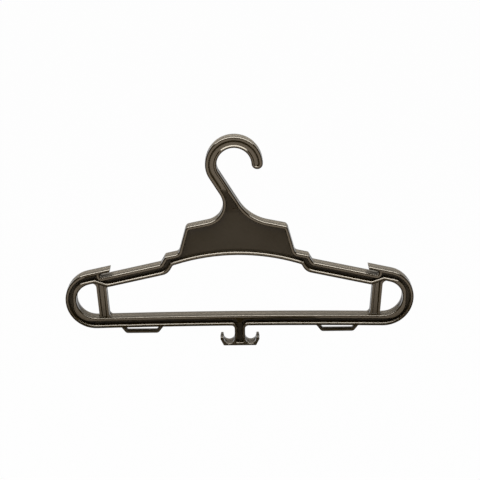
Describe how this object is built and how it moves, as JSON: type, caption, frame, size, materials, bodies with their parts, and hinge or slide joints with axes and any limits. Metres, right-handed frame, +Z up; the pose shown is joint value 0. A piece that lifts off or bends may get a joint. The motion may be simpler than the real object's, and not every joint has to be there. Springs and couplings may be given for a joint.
{
  "type": "clothes hanger",
  "caption": "Heavy one-piece moulded clothes hanger with a solid hook, crown plate, ribbed arms and trouser bar, end loops, strap notches and an accessory hook under the bar.",
  "frame": {"origin": "the seat of the hook: the top of the hook's inner curve, at mid depth, where it rests on a rail", "axes": "+X to the wearer's side where the hook's tip is, seen from the front; +Y from front to back; +Z up"},
  "size_m": [0.44, 0.019, 0.2733],
  "materials": {
    "moulded_plastic": "gloss black"
  },
  "bodies": {
    "root": {"hanger": "moulded_plastic"}
  },
  "joints": []
}
